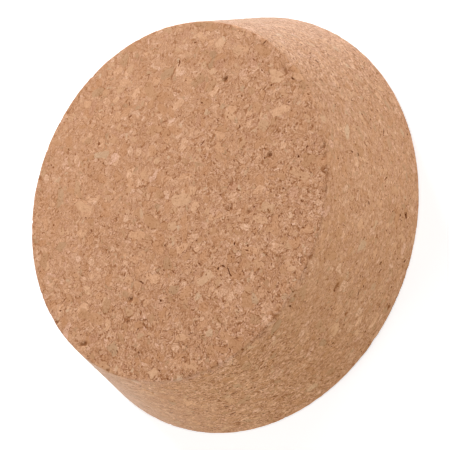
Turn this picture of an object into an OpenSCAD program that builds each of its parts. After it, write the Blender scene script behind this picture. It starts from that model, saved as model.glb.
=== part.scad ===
// Tapered cork stopper.
//
// One solid plug of pressed cork granules, ground to a taper: a short cone frustum whose
// two faces are flat and whose two rims are lightly rounded. It stands on its wide end.
// The narrow end, which goes first into the mouth of a jar, faces up. The origin is the
// centre of the wide end's face, and +Z runs along the axis to the narrow end.
// All sizes are in millimetres.

/* [Body] */
// Diameter of the wide end, where its face and the wall would meet in a sharp edge
large_diameter = 100; // [60:0.5:150]
// Diameter of the narrow end, where its face and the wall would meet in a sharp edge
small_diameter = 82.5; // [50:0.5:140]
// Height from one flat face to the other
height = 24.5; // [12:0.5:60]

/* [Rims] */
// Radius of the rounding round the rim of the wide end
large_rim_radius = 0.4; // [0.2:0.1:2]
// Radius of the rounding round the rim of the narrow end
small_rim_radius = 0.4; // [0.2:0.1:2]

/* [Hidden] */

// Number of short straight steps that make up the rounding of each rim
rim_steps = 10;

// Number of sides round the stopper in a preview
$fn = 180;

// Slant of the wall from the axis, which is positive when the stopper narrows upwards
taper_angle = atan((large_diameter - small_diameter) / 2 / height);

// Centre of each rim's rounding, which lies one radius in from the face and from the wall
large_rim_centre = [
    large_diameter / 2 - large_rim_radius * (1 + sin(taper_angle)) / cos(taper_angle),
    large_rim_radius
];
small_rim_centre = [
    small_diameter / 2 - small_rim_radius * (1 - sin(taper_angle)) / cos(taper_angle),
    height - small_rim_radius
];

// Points along a rounding that turns from facing one way to facing another. An angle of
// -90 faces down, 0 faces outwards and 90 faces up.
function rounding(centre, radius, first_angle, last_angle) = [
    for (step = [0 : rim_steps])
        let (angle = first_angle + (last_angle - first_angle) * step / rim_steps)
        centre + radius * [cos(angle), sin(angle)]
];

// Half of the stopper's section, from its axis out to the wall. The straight wall is the
// line between the two roundings.
module half_section() {
    polygon([
        [0, 0],
        each rounding(large_rim_centre, large_rim_radius, -90, taper_angle),
        each rounding(small_rim_centre, small_rim_radius, taper_angle, 90),
        [0, height]
    ]);
}

// The whole plug of cork
module stopper() {
    color("tan")
        rotate_extrude()
            half_section();
}

stopper();
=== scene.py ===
import math

import bpy
import numpy as np
from mathutils import Matrix, Vector


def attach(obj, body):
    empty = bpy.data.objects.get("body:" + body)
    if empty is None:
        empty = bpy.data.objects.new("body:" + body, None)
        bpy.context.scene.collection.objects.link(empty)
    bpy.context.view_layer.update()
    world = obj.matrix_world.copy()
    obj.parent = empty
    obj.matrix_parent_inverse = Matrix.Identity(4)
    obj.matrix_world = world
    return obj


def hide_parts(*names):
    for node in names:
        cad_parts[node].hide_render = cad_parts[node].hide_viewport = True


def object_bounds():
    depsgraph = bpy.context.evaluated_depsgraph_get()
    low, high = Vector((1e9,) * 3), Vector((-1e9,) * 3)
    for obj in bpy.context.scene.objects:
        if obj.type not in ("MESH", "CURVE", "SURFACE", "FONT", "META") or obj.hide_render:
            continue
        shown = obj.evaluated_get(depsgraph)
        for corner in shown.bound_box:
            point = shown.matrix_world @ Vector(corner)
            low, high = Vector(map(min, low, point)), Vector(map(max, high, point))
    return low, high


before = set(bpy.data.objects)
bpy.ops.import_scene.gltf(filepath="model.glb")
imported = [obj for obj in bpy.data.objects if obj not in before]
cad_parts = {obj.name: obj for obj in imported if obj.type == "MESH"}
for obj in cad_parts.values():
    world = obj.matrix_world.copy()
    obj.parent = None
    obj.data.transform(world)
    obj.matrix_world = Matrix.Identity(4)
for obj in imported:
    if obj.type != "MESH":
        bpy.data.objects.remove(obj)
CAD_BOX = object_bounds()
FOOT_HEIGHT, TOP_HEIGHT = (corner[2] for corner in CAD_BOX)
STOPPER = "stopper"  # the CAD node
MM = 0.001  # metres

# ------------------------------------------------------------------ the mesh of the stopper

FACE_RINGS = 96  # rings of triangles in each round face
SECTORS = 6  # of a round face; each ring has one point more in every sector than the ring inside it
AROUND = SECTORS * FACE_RINGS  # points round each rim and each row of the side
ROUNDING_ROWS = 4  # rows of faces round each rounded rim
WALL_ROWS = 60  # rows of faces up the straight wall
SHORT_STEP = 0.3 * MM  # the CAD outline's steps are shorter than this in its roundings
CAD_DIGITS = 5  # of a metre, so that the points of one CAD ring round to the same numbers
REST_PLACE = "rest_place"  # the attribute that keeps where each point was before the relief


def outline(node):
    """The CAD section from the foot's rim to the top face's rim, as (radius, height) rows."""
    found = set()
    for vertex in node.data.vertices:
        radius = math.hypot(vertex.co.x, vertex.co.y)
        found.add((round(radius, CAD_DIGITS), round(vertex.co.z, CAD_DIGITS)))
    return np.array(sorted(found, key=lambda point: (point[1], -point[0])))


def steps_between(points):
    return np.linalg.norm(np.diff(points, axis=0), axis=1)


def way_along(points):
    """How far along the line of points each of them lies."""
    return np.concatenate([[0], np.cumsum(steps_between(points))])


def rows_up_the_side(section):
    """(radius, height) of each row of vertices, closer together round the two rims."""
    along = way_along(section)
    straight = np.nonzero(steps_between(section) > SHORT_STEP)[0]
    wall_start, wall_end = along[straight[0]], along[straight[-1] + 1]
    stops = np.concatenate([
        np.linspace(0, wall_start, ROUNDING_ROWS, endpoint=False),
        np.linspace(wall_start, wall_end, WALL_ROWS, endpoint=False),
        np.linspace(wall_end, along[-1], ROUNDING_ROWS + 1),
    ])
    return np.stack([np.interp(stops, along, section[:, k]) for k in (0, 1)], axis=1)


def ring_of_points(radius, height, count):
    turn = np.arange(count) * 2 * math.pi / count
    return np.stack([radius * np.cos(turn), radius * np.sin(turn), np.full(count, height)], axis=1)


def disc(radius, height, first, facing_up):
    """The points and triangles of a flat face, in rings of even triangles.
    Its points are numbered from first."""
    points = [np.array([[0, 0, height]])]
    triangles = []
    inner = first
    for ring in range(FACE_RINGS):
        inner_count = max(1, SECTORS * ring)
        outer_count = SECTORS * (ring + 1)
        outer = inner + inner_count
        points.append(ring_of_points(radius * (ring + 1) / FACE_RINGS, height, outer_count))
        for sector in range(SECTORS):
            for step in range(ring + 1):
                a = inner + (sector * ring + step) % inner_count
                b = outer + (sector * (ring + 1) + step) % outer_count
                c = outer + (sector * (ring + 1) + step + 1) % outer_count
                triangles.append((a, b, c))
                if step < ring:
                    d = inner + (sector * ring + step + 1) % inner_count
                    triangles.append((a, c, d))
        inner = outer
    if not facing_up:
        triangles = [(a, c, b) for a, b, c in triangles]
    return np.concatenate(points), triangles


def body_of_rings(rows):
    """Points and faces of the whole closed body: the foot, the top face, then the side in rows."""
    foot, foot_faces = disc(*rows[0], 0, facing_up=False)
    top, top_faces = disc(*rows[-1], len(foot), facing_up=True)
    sides = [ring_of_points(radius, height, AROUND) for radius, height in rows[1:-1]]
    points = np.concatenate([foot, top, *sides])
    discs_end = len(foot) + len(top)
    row_starts = [len(foot) - AROUND]
    row_starts += [discs_end + AROUND * k for k in range(len(sides))]
    row_starts += [discs_end - AROUND]
    faces = foot_faces + top_faces
    for low, high in zip(row_starts, row_starts[1:]):
        for step in range(AROUND):
            after = (step + 1) % AROUND
            faces.append((low + step, low + after, high + after, high + step))
    return points, faces


BAKE_MAP = "OFBake"  # the name of the map that the colours are baked through
TOP_ON_MAP = ((0.305, 0.69), 0.295)  # middle and radius on the map
FOOT_ON_MAP = ((0.8, 0.69), 0.19)
HALVES_ON_MAP = ((0.01, 0.005), (0.01, 0.195))  # the lower left corners of the side's two halves
HALF_SIZE = (0.98, 0.178)


def add_bake_map(mesh, points, rows):
    """Lays out the faces, which are in body_of_rings' order."""
    vertices = np.empty(len(mesh.loops), dtype=int)
    mesh.loops.foreach_get("vertex_index", vertices)
    on_map = points[vertices, :2]
    disc_corners = 3 * SECTORS * FACE_RINGS**2
    for corners, radius, (middle, size), turned in (
        (slice(0, disc_corners), rows[0][0], FOOT_ON_MAP, (-1, 1)),  # the foot is seen from below
        (slice(disc_corners, 2 * disc_corners), rows[-1][0], TOP_ON_MAP, (1, 1)),
    ):
        on_map[corners] = np.array(middle) + on_map[corners] * turned * size / radius
    step = np.arange(AROUND)
    half = (step >= AROUND / 2).astype(int)
    across = 2 * (step[:, None] + np.array([0, 1, 1, 0])) / AROUND - half[:, None]
    along = way_along(rows)
    up = np.stack([along[:-1], along[:-1], along[1:], along[1:]], axis=1) / along[-1]
    in_half = np.stack(np.broadcast_arrays(across[None], up[:, None]), axis=-1) * HALF_SIZE
    side = in_half + np.array(HALVES_ON_MAP)[half][None, :, None]
    on_map[2 * disc_corners:] = side.reshape(-1, 2)
    mesh.uv_layers.new(name=BAKE_MAP).uv.foreach_set("vector", on_map.astype(np.float32).ravel())


def make_body(section):
    rows = rows_up_the_side(section)
    points, faces = body_of_rings(rows)
    mesh = bpy.data.meshes.new("cork")
    mesh.from_pydata(points.tolist(), [], faces)
    mesh.shade_smooth()
    add_bake_map(mesh, points, rows)
    rest = mesh.attributes.new(REST_PLACE, "FLOAT_VECTOR", "POINT")
    rest.data.foreach_set("vector", points.astype(np.float32).ravel())
    mesh.update()
    body = bpy.data.objects.new("cork_body", mesh)
    bpy.context.scene.collection.objects.link(body)
    return body


# ------------------------------------------------------------------ a small helper for nodes


class Nodes:
    """Adds nodes to one tree. An input is a plain value or another node's output."""

    def __init__(self, tree):
        self.tree = tree

    def add(self, kind, inputs, **settings):
        node = self.tree.nodes.new(kind)
        for name, value in settings.items():
            setattr(node, name, value)
        for name, value in inputs.items():
            if isinstance(value, bpy.types.NodeSocket):
                self.tree.links.new(value, node.inputs[name])
            else:
                node.inputs[name].default_value = value
        return node

    def calc(self, operation, a, b=0.0):
        return self.add("ShaderNodeMath", {0: a, 1: b}, operation=operation).outputs[0]

    def plus(self, a, b):
        return self.calc("ADD", a, b)

    def minus(self, a, b):
        return self.calc("SUBTRACT", a, b)

    def times(self, product, *factors):
        for factor in factors:
            product = self.calc("MULTIPLY", product, factor)
        return product

    def vector(self, operation, a, b=(0, 0, 0)):
        node = self.add("ShaderNodeVectorMath", {0: a, 1: b}, operation=operation)
        return node.outputs["Value" if operation == "LENGTH" else "Vector"]

    def scaled(self, vector, factor):
        node = self.add("ShaderNodeVectorMath", {0: vector, "Scale": factor}, operation="SCALE")
        return node.outputs["Vector"]

    def parts(self, vector):
        return self.add("ShaderNodeSeparateXYZ", {0: vector}).outputs

    def level(self, vector):
        """The vector without its height."""
        return self.vector("MULTIPLY", vector, (1, 1, 0))

    def towards(self, vector, way):
        """How far the vector goes in a level direction."""
        x, y = self.parts(vector)[:2]
        return self.plus(self.times(x, way[0]), self.times(y, way[1]))

    def smooth_step(self, value, low, high, result_low=0.0, result_high=1.0):
        inputs = {0: value, 1: low, 2: high, 3: result_low, 4: result_high}
        settings = {"interpolation_type": "SMOOTHSTEP", "clamp": False}
        return self.add("ShaderNodeMapRange", inputs, **settings).outputs[0]

    def between(self, share, results):
        """The first of two results where the share is 0, the second where it is 1."""
        return self.smooth_step(share, 0.0, 1.0, *results)

    def noise(self, place, per_mm, detail=2.0, roughness=0.5):
        inputs = {"Vector": place, "Scale": per_mm, "Detail": detail, "Roughness": roughness}
        return self.add("ShaderNodeTexNoise", inputs).outputs

    def waves(self, place, per_mm, detail=2.0, roughness=0.5):
        """Noise about 0."""
        return self.minus(self.noise(place, per_mm, detail, roughness)[0], 0.5)

    def patches(self, place, patches, results=(0.0, 1.0), detail=1.0):
        """The second result in patches, the first between them. The patches are given by how many
        waves of noise there are to a mm, and the noise at which one begins and is full."""
        per_mm, begins, full = patches
        return self.smooth_step(self.noise(place, per_mm, detail)[0], begins, full, *results)

    def cells(self, place, size):
        return self.add("ShaderNodeTexVoronoi", {"Vector": place, "Scale": 1 / size}).outputs

    def blend(self, share, a, b):
        """Mixes two numbers."""
        return self.add("ShaderNodeMix", {0: share, 2: a, 3: b}, data_type="FLOAT").outputs[0]

    def tint(self, share, a, b, blend_type="MIX"):
        """Mixes two colours."""
        inputs = {0: share, 6: a, 7: b}
        return self.add("ShaderNodeMix", inputs, data_type="RGBA", blend_type=blend_type).outputs[2]

    def ramp(self, value, stops):
        """The colour at a value from 0 to 1, between stops of (value, colour)."""
        node = self.add("ShaderNodeValToRGB", {0: value})
        elements = node.color_ramp.elements
        while len(elements) < len(stops):
            elements.new(0.5)
        for element, (position, colour) in zip(elements, stops):
            element.position = position
            element.color = (*colour, 1)
        return node.outputs[0]


# ------------------------------------------------------------------ the pattern of the granules

SECTION = outline(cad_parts[STOPPER])
FOOT_RADIUS = max(radius for radius, height in SECTION)
TOP_RADIUS = SECTION[-1][0]
RIM_REACH = 1.3 * MM  # how far from a rim it is nicked

PRESSED_FLAT = 2.0  # how much flatter than wide the granules are
THICKNESS = 0.8  # of a granule, against its width
BENDS = ((0.4, 1.6), (1.7, 0.3), (4.5, 0.18))  # waves to a mm, and how far they reach in mm
LAYERS_BEND = 0.7  # how far they reach up and down, against sideways
SET_APART = (1, 0.7, 1.3)  # the way in which an offset moves a layer of cells

# Layers of granules, from the finest: their spacing, (length, width) in mm, the share of the
# cells that hold one, and an offset that gives the layer cells of its own.
GRANULES = (
    (1.1, (1.25, 0.85), 0.58, 3.0),
    (1.8, (2.5, 1.1), 0.62, 7.0),
    (3.0, (4.0, 1.9), 0.74, 19.0),
    (4.6, (5.6, 2.5), 0.5, 43.0),
)

# Where granules have been torn out: the same four values, and how soft the edge is.
PITS = (4.5, (2.4, 1.35), 0.16, 11.0, 0.45)
PIT_DEPTHS = (0.12, 0.4)  # mm
NICKS = (2.1, (1.9, 1.25), 0.4, 23.0, 0.5)  # in the rims
NICK_DEPTHS = (0.1, 0.35)


def granule_place(n, place):
    """The place in millimetres, stretched up, because the granules are pressed flat, and bent, so
    that their edges are ragged."""
    in_mm = n.vector("MULTIPLY", place, (1 / MM, 1 / MM, PRESSED_FLAT / MM))
    for per_mm, reach in BENDS:
        bend = n.vector("SUBTRACT", n.noise(in_mm, per_mm, detail=1.0)["Color"], (0.5, 0.5, 0.5))
        bend = n.vector("MULTIPLY", bend, (reach, reach, reach * LAYERS_BEND))
        in_mm = n.vector("ADD", in_mm, bend)
    return in_mm


class Turned:
    """Cells, each with its own axes. along: the place in the cell's axes.
    tones: three random numbers for each cell."""

    def __init__(self, n, place, spacing, offset):
        moved = n.vector("ADD", place, [offset * part for part in SET_APART])
        cell = n.cells(moved, spacing)
        away = n.vector("SUBTRACT", moved, cell["Position"])
        turned = {"Vector": away, "Rotation": n.scaled(cell["Color"], 2 * math.pi)}
        self.along = n.add("ShaderNodeVectorRotate", turned, rotation_type="EULER_XYZ").outputs[0]
        self.tones = n.parts(cell["Color"])


class Chips(Turned):
    """Chips turned every way, at most one to a cell, each a block with rounded corners that the
    surface cuts through. out: how far out a place is, 1 at the chip's edge. chosen: 1 in a cell
    that holds a chip. cover: 1 inside a chip."""

    def __init__(self, n, place, spacing, size, share, offset, soft, ragged=0.0):
        super().__init__(n, place, spacing, offset)
        length, width = size
        fitted = n.vector("MULTIPLY", self.along, (2 / length, 2 / width, 2 / (THICKNESS * width)))
        squared = n.vector("MULTIPLY", fitted, fitted)
        self.out = n.plus(n.calc("SQRT", n.vector("LENGTH", squared)), ragged)
        self.chosen = n.calc("LESS_THAN", self.tones[0], share)
        self.cover = n.times(n.smooth_step(self.out, 1.0, 1.0 - soft), self.chosen)


def torn_pits(n, place, rim_share):
    """Depth in mm of the pits where a granule has been torn out, and of the nicks in the rims."""
    pit = Chips(n, place, *PITS)
    pit_depth = n.between(pit.tones[1], PIT_DEPTHS)
    nick = Chips(n, place, *NICKS)
    nick_depth = n.times(n.between(nick.tones[1], NICK_DEPTHS), rim_share)
    return n.calc("MAXIMUM", n.times(pit.cover, pit_depth), n.times(nick.cover, nick_depth))


def near_rims(n, place):
    """1 on the two rims, falling to 0 at RIM_REACH from them."""
    height = n.parts(place)[2]
    from_faces = n.calc("MINIMUM", n.minus(height, FOOT_HEIGHT), n.minus(TOP_HEIGHT, height))
    narrowing = (FOOT_RADIUS - TOP_RADIUS) / (TOP_HEIGHT - FOOT_HEIGHT)
    wall_radius = n.minus(FOOT_RADIUS, n.times(height, narrowing))
    from_wall = n.minus(wall_radius, n.vector("LENGTH", n.level(place)))
    return n.smooth_step(n.calc("MAXIMUM", from_faces, from_wall), RIM_REACH, 0.0)


# ------------------------------------------------------------------ relief, as real geometry

STEPPED_GRANULES = GRANULES[1:]  # those large enough for the mesh to carry their steps
STEP_HEIGHT = 0.11  # mm
STEP_SOFTNESS = 0.3  # how far in from its edge a granule reaches its level
SWELLS_PER_MM = 0.5  # of the cork under the steps
SWELL_HEIGHT = 0.2  # mm
FAR_OUTSIDE = -1.0  # metres, a limit that no point comes near


def add_relief(body):
    tree = bpy.data.node_groups.new("relief", "GeometryNodeTree")
    for direction in ("INPUT", "OUTPUT"):
        tree.interface.new_socket("Geometry", in_out=direction, socket_type="NodeSocketGeometry")
    n = Nodes(tree)
    incoming = n.add("NodeGroupInput", {})
    rest = n.add("GeometryNodeInputPosition", {}).outputs[0]
    place = granule_place(n, rest)
    level = n.times(n.waves(place, SWELLS_PER_MM), SWELL_HEIGHT)
    for layer in STEPPED_GRANULES:
        chip = Chips(n, place, *layer, soft=STEP_SOFTNESS)
        step = n.times(n.minus(chip.tones[2], 0.5), STEP_HEIGHT)
        level = n.blend(chip.cover, level, step)
    height = n.times(n.minus(level, torn_pits(n, place, near_rims(n, rest))), MM)
    normal = n.add("GeometryNodeInputNormal", {}).outputs[0]
    target = n.vector("ADD", rest, n.scaled(normal, height))
    above_foot = (FAR_OUTSIDE, FAR_OUTSIDE, FOOT_HEIGHT)
    target = n.vector("MAXIMUM", target, above_foot)
    moved = n.add("GeometryNodeSetPosition", {"Geometry": incoming.outputs[0], "Position": target})
    n.add("NodeGroupOutput", {0: moved.outputs[0]})
    modifier = body.modifiers.new("relief", "NODES")
    modifier.node_group = tree
    graph = bpy.context.evaluated_depsgraph_get()
    worn = bpy.data.meshes.new_from_object(
        body.evaluated_get(graph), preserve_all_data_layers=True, depsgraph=graph
    )
    body.modifiers.clear()
    body.data = worn


# ------------------------------------------------------------------ cork

# Tones are steps from the middle colour, as natural logarithms of brightness.
DARKEST = -2.2
PALEST = 0.5
RAMP_STOPS = 10
CONTRAST = 0.955  # of all the tones
MIDDLE_CORK = (0.553, 0.2925, 0.1625)  # linear colour
REDDER = 0.37  # how much more of a tone's darkness the green has than the red
GREENS_PART = 0.35  # of that difference; the red has the rest
YELLOWER = 0.45  # how much more of a tone's darkness the blue has than the green

CORK_HUES = (  # place in the ramp and what the tone's colour is multiplied by
    (0.0, (0.99, 0.96, 1.0)),
    (0.25, (1.0, 1.0, 1.0)),
    (0.6, (1.03, 0.99, 0.92)),
    (0.85, (1.0, 1.01, 0.96)),
    (1.0, (0.93, 1.02, 1.03)),
)
SIDE_LIGHT_TINTS = ((1.0, 0.99, 0.89, 1), (0.98, 1.01, 1.03, 1))  # painted light on the side: the colour is multiplied by these at -x and +x, yellower at -x and cooler at +x, as the light falls there

# How rough the cut is. It strengthens everything that is dark or uneven.
SAW_WAY = (-0.52, -0.86)
SAW_REACH = 45 * MM  # from the middle of a face
FACE_ROUGHNESS = (0.58, 1.08)  # where the saw came in and where it went out
CALM_WAY = (0.22, -0.975)  # from the middle to the calm part of the ground side
SIDE_ROUGHNESS = 1.33
# Two calmer parts: how far towards CALM_WAY each begins and ends, as a cosine, and how rough the
# side is at those two places.
CALMER = ((0.55, 0.95, SIDE_ROUGHNESS, 0.64), (-0.1, 0.4, 0.7, SIDE_ROUGHNESS))

# Patches, as Nodes.patches takes them.
TORN_PATCHES = (0.35, 0.42, 0.6)
CRUMB_PATCHES = (0.45, 0.4, 0.6)
SEAM_PATCHES = (0.8, 0.52, 0.64)
PORE_PATCHES = (0.25, 0.4, 0.6)

# Noise: waves to a mm, how many finer sizes of wave it has, and how much they count.
GRAIN = (1.6, 2.0, 0.7)
BROKEN_STREAKS = (3.0, 2.0, 0.6)
WHOLE_STREAKS = (2.8, 2.0, 0.6)
FACE_SPECKS = (3.6, 1.0, 0.8)
SIDE_SPECKS = (1.6, 3.0, 0.8)

EDGE = 0.4 * MM  # the height within which a face's look turns into the side's
TORN_EDGE = 2.4 * MM  # the same where the saw has torn the side's upper edge

# Pairs of strengths are for the faces and for the side.
GROUND_STRENGTH = (1.0, 0.75)
GRANULE_STRENGTH = (0.95, 0.8)
SPECK_STRENGTH = (1.0, 1.7)
RELIEF_STRENGTH = (1.0, 0.2)

BROKEN_SPACING = 1.7  # mm between broken granules
BROKEN_OFFSET = 5.0
BROKEN_TONES = (-0.2, 0.1)
STREAK_STRETCH = (0.25, 1.0, 1.0)  # in a granule's own axes
CRUMB_SIZE = 0.42  # mm
CRUMB_FLATNESS = 1.6
CRUMB_POWER = 0.5  # less than 1, so that few crumbs are dark
CRUMB_TONES = (-0.87, 0.19)
CRUMBS_IN_PATCHES = (0.25, 1.0)  # share of crumbs outside their patches and in them
CRUMB_HUES = (0.4, 0.1)  # spread and lowest
GRAIN_TONE = 0.6
GROUND_HEIGHT = 0.04  # mm to a step of tone

RAGGED_PER_MM = 2.2  # waves along a granule's edge
RAGGED_REACH = 0.3  # of a granule's half size
GRANULE_TONES = (0.3, 1.2, -0.11, 0.38)  # a random number's range and its tones: few are palest
GRANULE_SOFTNESS = 0.07
GRANULE_COVER = 0.85  # what lies under a granule shows through a little
STREAKY = (0.35, 0.75, 1.3, 0.5)  # a hue's range and how streaky granules of that hue are
CRUMBLY = (0.35, 0.75, 1.35, 0.35)  # and how much speckle they have
SEAM_WIDTH = 0.1  # of a granule's half size
SEAM_DARKNESS = 0.9
SEAM_DEPTH = 0.03  # mm

SIDE_SPECKS_PRESSED = (0.7, 0.7, 1.8)
SPECK_POWER = 0.3  # less than 1, so that dark specks are stronger than pale ones
SPECK_MIDDLE = 0.8
SPECK_TONE = 2.0
SPECK_HEIGHT = 0.03  # mm

STROKES = (  # bends to a mm, offset, and the patches where they are drawn
    (0.9, 71.0, (0.81, 0.53, 0.6)),
    (1.5, 83.0, (1.35, 0.53, 0.6)),
)
STROKE_WIDTH = 0.035
STROKE_DARKNESS = 0.9
STROKE_DEPTH = 0.02  # mm

PORES = (  # spacing, (length, width), share, offset, how dark
    (0.9, (0.5, 0.33), 0.3, 31.0, 1.4),
    (2.2, (0.8, 0.5), 0.35, 53.0, 2.4),
    (5.0, (0.32, 2.3), 0.22, 61.0, 2.3),  # flat, so that most are cut as a line
)
PORE_SOFTNESS = 0.4
PORE_DEPTH = 0.05  # mm
PORES_IN_PATCHES = (0.3, 1.0)  # outside their patches and in them
PORES_ON_SIDE = 1.6
PATCH_DARKNESS = 0.1

PIT_PAINTED_SHADE = 1.7  # painted shade in the torn pits and nicks, in steps of tone to a mm of their depth
PLAIN_ROUGHNESS = 0.8  # a face gets painted shade where it is cut rougher than this
ROUGH_CUT_PAINTED_SHADE = 0.06
FOOT_EDGE = (0.45 * MM, 0.1 * MM)  # painted contact shade on the lowest rim, between these heights
FOOT_PAINTED_SHADE = 0.5

ROUGHNESS = (-0.6, 0.3, 0.85, 0.6)  # two tones and the shader's roughness at each
SPECULAR = 0.1
SHEEN = 0.34
SHEEN_ROUGHNESS = 0.3


def cork_tone(tone):
    """The linear colour of a tone. The darker it is, the redder."""
    red, green, blue = MIDDLE_CORK
    step = tone * CONTRAST
    green_step = step * (1 + GREENS_PART * REDDER)
    red_step = green_step - step * REDDER
    blue_step = green_step + step * YELLOWER
    return red * math.exp(red_step), green * math.exp(green_step), blue * math.exp(blue_step)


class Cork:
    """The look of the cork at a place: its tone, its hue from 0 to 1 and its height in mm."""

    def __init__(self, n):
        self.n = n
        self.rest = n.add("ShaderNodeAttribute", {}, attribute_name=REST_PLACE).outputs["Vector"]
        self.outward = n.vector("NORMALIZE", n.level(self.rest))
        self.place = granule_place(n, self.rest)
        self.ragged = n.times(n.waves(self.place, RAGGED_PER_MM), RAGGED_REACH)
        self.on_side = self.side_mask()
        self.rough = self.roughness_of_cut()
        self.lay_ground()
        for layer in GRANULES:
            self.lay_granules(layer)
        self.add_speckle()
        self.draw_strokes()
        self.open_pores()
        self.paint_shade_and_scale_relief()

    def side_mask(self):
        """0 on the round faces, 1 on the side. In places the saw has torn its upper edge too."""
        n = self.n
        height = n.parts(self.rest)[2]
        edges = (TOP_HEIGHT - EDGE, TOP_HEIGHT - TORN_EDGE)
        edge = n.patches(self.place, TORN_PATCHES, edges)
        below_edge = n.smooth_step(height, TOP_HEIGHT, edge)
        return n.times(below_edge, n.smooth_step(height, FOOT_HEIGHT, FOOT_HEIGHT + EDGE))

    def face_or_side(self, on_face, on_side):
        return self.n.blend(self.on_side, on_face, on_side)

    def roughness_of_cut(self):
        """The sawn faces get rougher along the cut, and the ground side is calm in two parts."""
        n = self.n
        along_cut = n.towards(self.rest, SAW_WAY)
        face_rough = n.smooth_step(along_cut, -SAW_REACH, SAW_REACH, *FACE_ROUGHNESS)
        to_calm = n.towards(self.outward, CALM_WAY)
        calmer = [n.smooth_step(to_calm, *part) for part in CALMER]
        return self.face_or_side(face_rough, n.calc("MINIMUM", *calmer))

    def streaks(self, along, noise):
        """The lines of a granule's cells: long one way and thin across it."""
        return self.n.waves(self.n.vector("MULTIPLY", along, STREAK_STRETCH), *noise)

    def darken(self, share, tone, depth=0.0):
        n = self.n
        self.tone = n.minus(self.tone, n.times(share, tone))
        if depth:
            self.height = n.minus(self.height, n.times(share, depth))

    def lay_ground(self):
        """Broken granules with fine crumbs in patches between them."""
        n = self.n
        broken = Turned(n, self.place, BROKEN_SPACING, BROKEN_OFFSET)
        tone = n.between(broken.tones[1], BROKEN_TONES)
        tone = n.plus(tone, self.streaks(broken.along, BROKEN_STREAKS))
        pressed = n.vector("MULTIPLY", self.place, (1, 1, CRUMB_FLATNESS))
        crumb_tones = n.parts(n.cells(pressed, CRUMB_SIZE)["Color"])
        crumbs = n.between(n.calc("POWER", crumb_tones[0], CRUMB_POWER), CRUMB_TONES)
        tone = n.blend(n.patches(self.place, CRUMB_PATCHES, CRUMBS_IN_PATCHES), tone, crumbs)
        grain = n.times(n.waves(self.place, *GRAIN), GRAIN_TONE)
        tone = n.times(n.plus(tone, grain), self.rough)
        self.tone = n.times(tone, self.face_or_side(*GROUND_STRENGTH))
        self.height = n.times(self.tone, GROUND_HEIGHT)
        hue_spread, lowest_hue = CRUMB_HUES
        self.hue = n.plus(n.times(crumb_tones[1], hue_spread), lowest_hue)

    def lay_granules(self, layer):
        n = self.n
        chip = Chips(n, self.place, *layer, soft=GRANULE_SOFTNESS, ragged=self.ragged)
        tone = n.smooth_step(chip.tones[1], *GRANULE_TONES)
        tone = n.times(tone, self.face_or_side(*GRANULE_STRENGTH))
        streaks = self.streaks(chip.along, WHOLE_STREAKS)
        tone = n.plus(tone, n.times(streaks, n.smooth_step(chip.tones[2], *STREAKY)))
        self.tone = n.blend(n.times(chip.cover, GRANULE_COVER), self.tone, tone)
        self.hue = n.blend(chip.cover, self.hue, chip.tones[2])
        self.height = n.blend(chip.cover, self.height, 0.0)
        # the shadowed seam round part of a granule
        from_edge = n.calc("ABSOLUTE", n.minus(chip.out, 1.0))
        seam = n.times(n.smooth_step(from_edge, SEAM_WIDTH, 0.0), chip.chosen)
        seam = n.times(seam, n.patches(self.place, SEAM_PATCHES), self.rough)
        self.darken(seam, SEAM_DARKNESS, SEAM_DEPTH)

    def add_speckle(self):
        """Specks finer than a crumb. They are drawn out round the side, where the cut is edge-on."""
        n = self.n
        pressed = n.vector("MULTIPLY", self.rest, [part / MM for part in SIDE_SPECKS_PRESSED])
        on_face = n.noise(self.place, *FACE_SPECKS)[0]
        on_side = n.noise(pressed, *SIDE_SPECKS)[0]
        specks = n.calc("POWER", self.face_or_side(on_face, on_side), SPECK_POWER)
        specks = n.times(n.minus(specks, SPECK_MIDDLE), SPECK_TONE, self.rough)
        crumbly = n.smooth_step(self.hue, *CRUMBLY)
        crumbly = n.times(crumbly, self.face_or_side(*SPECK_STRENGTH))
        self.tone = n.plus(self.tone, n.times(specks, crumbly))
        self.height = n.plus(self.height, n.times(specks, SPECK_HEIGHT))

    def draw_strokes(self):
        """Short dark lines as thin as a hair, where two granules meet badly."""
        n = self.n
        for per_mm, offset, patches in STROKES:
            moved = n.vector("ADD", self.place, (offset, offset, offset))
            line = n.calc("ABSOLUTE", n.waves(moved, per_mm, detail=0.0))
            line = n.smooth_step(line, STROKE_WIDTH, 0.0)
            line = n.times(line, n.patches(moved, patches), self.rough)
            self.darken(line, STROKE_DARKNESS, STROKE_DEPTH)

    def open_pores(self):
        """Round pores and flat slits, more of them in patches that are a little darker."""
        n = self.n
        clusters = n.patches(self.place, PORE_PATCHES, PORES_IN_PATCHES, detail=2.0)
        self.darken(n.minus(clusters, sum(PORES_IN_PATCHES) / 2), PATCH_DARKNESS)
        clusters = n.times(clusters, self.face_or_side(self.rough, PORES_ON_SIDE))
        for *layer, darkness in PORES:
            pore = Chips(n, self.place, *layer, soft=PORE_SOFTNESS)
            self.darken(n.times(pore.cover, clusters), darkness, PORE_DEPTH)

    def paint_shade_and_scale_relief(self):
        """Painted shade in the torn pits, on the rougher cut and on the lowest rim where it meets
        the floor; the relief is weakened on the side.
        """
        n = self.n
        # painted shade: the torn pits and nicks darken with their depth
        self.darken(torn_pits(n, self.place, near_rims(n, self.rest)), PIT_PAINTED_SHADE)
        # painted shade: the rougher side of a face is darkened, so one side of it is darker than the
        # other
        rough_cut_shade = n.minus(self.face_or_side(self.rough, PLAIN_ROUGHNESS), PLAIN_ROUGHNESS)
        self.darken(rough_cut_shade, ROUGH_CUT_PAINTED_SHADE)
        # painted contact shade where the foot meets the floor
        self.darken(n.smooth_step(n.parts(self.rest)[2], *FOOT_EDGE), FOOT_PAINTED_SHADE)
        self.height = n.times(self.height, self.face_or_side(*RELIEF_STRENGTH))


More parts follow.
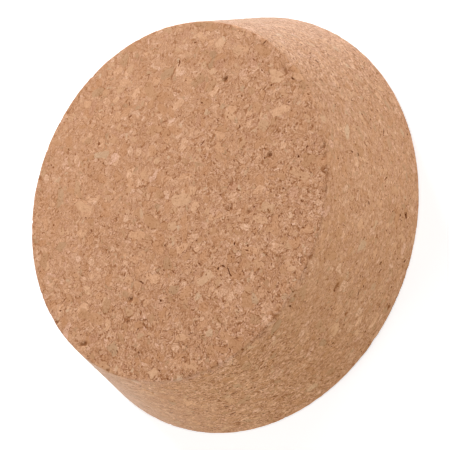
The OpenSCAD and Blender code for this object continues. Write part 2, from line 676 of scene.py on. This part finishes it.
def make_cork():
    material = bpy.data.materials.new("cork")
    material.use_nodes = True
    n = Nodes(material.node_tree)
    cork = Cork(n)
    span = PALEST - DARKEST
    stops = [(share, cork_tone(DARKEST + share * span)) for share in np.linspace(0, 1, RAMP_STOPS)]
    tones = n.ramp(n.calc("DIVIDE", n.minus(cork.tone, DARKEST), span), stops)
    colour = n.tint(1.0, tones, n.ramp(cork.hue, CORK_HUES), "MULTIPLY")
    # painted light: the side's colour drifts from yellower at -x to cooler at +x
    painted_light_tint = n.tint(n.smooth_step(n.parts(cork.outward)[0], -1.0, 1.0), *SIDE_LIGHT_TINTS)
    colour = n.tint(cork.on_side, colour, painted_light_tint, "MULTIPLY")
    bump = n.add("ShaderNodeBump", {"Strength": 1.0, "Distance": MM, "Height": cork.height})
    shader = material.node_tree.nodes["Principled BSDF"]
    n.tree.links.new(colour, shader.inputs["Base Color"])
    n.tree.links.new(bump.outputs[0], shader.inputs["Normal"])
    n.tree.links.new(n.smooth_step(cork.tone, *ROUGHNESS), shader.inputs["Roughness"])
    shader.inputs["Specular IOR Level"].default_value = SPECULAR
    shader.inputs["Sheen Weight"].default_value = SHEEN
    shader.inputs["Sheen Roughness"].default_value = SHEEN_ROUGHNESS
    return material


# ------------------------------------------------------------------ camera

CAMERA_ELEVATION = math.radians(52.138)
CAMERA_ROLL = math.radians(70.266)  # the stopper's axis lies nearly level in the picture
CAMERA_DISTANCE = 400 * MM
CAMERA_LENS = 135.975  # mm
CAMERA_SENSOR = 36.0  # mm wide
BASE_ASIDE = 1.874 * MM  # how far right of the picture's middle the stopper's base is
BASE_ABOVE = 0.871 * MM  # how far above the middle


def make_camera():
    """The camera looks down on the narrow end from the front and is rolled clockwise."""
    back = Vector((0, -math.cos(CAMERA_ELEVATION), math.sin(CAMERA_ELEVATION)))
    level_up = Vector((0, math.sin(CAMERA_ELEVATION), math.cos(CAMERA_ELEVATION)))
    level_right = Vector((1, 0, 0))
    cosine, sine = math.cos(CAMERA_ROLL), math.sin(CAMERA_ROLL)
    right = cosine * level_right - sine * level_up
    up = sine * level_right + cosine * level_up
    data = bpy.data.cameras.new("camera")
    data.lens = CAMERA_LENS
    data.sensor_width = CAMERA_SENSOR
    camera = bpy.data.objects.new("camera", data)
    camera.matrix_world = Matrix((right, up, back)).transposed().to_4x4()
    camera.location = CAMERA_DISTANCE * back - BASE_ASIDE * right - BASE_ABOVE * up
    bpy.context.scene.collection.objects.link(camera)
    bpy.context.scene.camera = camera


# ------------------------------------------------------------------ studio

WHITE = (1, 1, 1, 1)
WORLD_LIGHT = 0.3
SOFTBOXES = (  # name, place, width in metres, power in watts
    ("low", (0.9, -0.1, 0.15), 0.5, 3.9),
    ("left", (0.24, 0.40, 0.32), 0.15, 2.6),
    ("right", (-0.05, -0.74, 0.28), 0.4, 2.4),
    ("back", (-0.6, 0.38, 0.15), 0.4, 2.6),
)
FLOOR_REACH = 3.0  # metres each way from the middle
FLOOR_COLOUR = (0.85, 0.85, 0.85, 1)
# Two distances from the middle and how strongly the floor glows at each: far off, the lamps
# leave it grey.
FLOOR_GLOW = (0.2, 0.8, 0.53, 1.0)


def seen_rays(n):
    """1 for the rays that show a backdrop: the camera's, and those mirrored or let through."""
    path = n.add("ShaderNodeLightPath", {}).outputs
    mirrored = n.calc("MAXIMUM", path["Is Glossy Ray"], path["Is Transmission Ray"])
    return n.calc("MAXIMUM", path["Is Camera Ray"], mirrored)


def make_world():
    """A world that lights evenly and looks white."""
    world = bpy.data.worlds.new("studio")
    world.use_nodes = True
    n = Nodes(world.node_tree)
    background = world.node_tree.nodes["Background"]
    background.inputs["Color"].default_value = WHITE
    n.tree.links.new(n.blend(seen_rays(n), WORLD_LIGHT, 1.0), background.inputs["Strength"])
    bpy.context.scene.world = world


def make_softbox(name, place, width, power):
    """A round lamp that faces the stopper."""
    data = bpy.data.lights.new(name, "AREA")
    data.shape = "DISK"
    data.size = width
    data.energy = power
    lamp = bpy.data.objects.new(name, data)
    lamp.location = place
    lamp.rotation_euler = Vector(place).to_track_quat("Z", "Y").to_euler()
    bpy.context.scene.collection.objects.link(lamp)


def make_floor():
    ends = (-FLOOR_REACH, FLOOR_REACH)
    mesh = bpy.data.meshes.new("floor")
    mesh.from_pydata([(x, y, 0) for x in ends for y in ends], [], [(0, 2, 3, 1)])
    floor = bpy.data.objects.new("floor", mesh)
    bpy.context.scene.collection.objects.link(floor)
    material = bpy.data.materials.new("floor")
    material.use_nodes = True
    n = Nodes(material.node_tree)
    shader = material.node_tree.nodes["Principled BSDF"]
    shader.inputs["Base Color"].default_value = FLOOR_COLOUR
    shader.inputs["Specular IOR Level"].default_value = 0.0
    shader.inputs["Emission Color"].default_value = WHITE
    place = n.add("ShaderNodeNewGeometry", {}).outputs["Position"]
    glow = n.smooth_step(n.vector("LENGTH", place), *FLOOR_GLOW)
    n.tree.links.new(n.times(seen_rays(n), glow), shader.inputs["Emission Strength"])
    mesh.materials.append(material)


make_camera()
make_world()
for softbox in SOFTBOXES:
    make_softbox(*softbox)
make_floor()
bpy.context.scene.view_settings.view_transform = "Standard"

body = make_body(SECTION)
add_relief(body)
body.data.materials.append(make_cork())
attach(body, "root")
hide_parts(STOPPER)
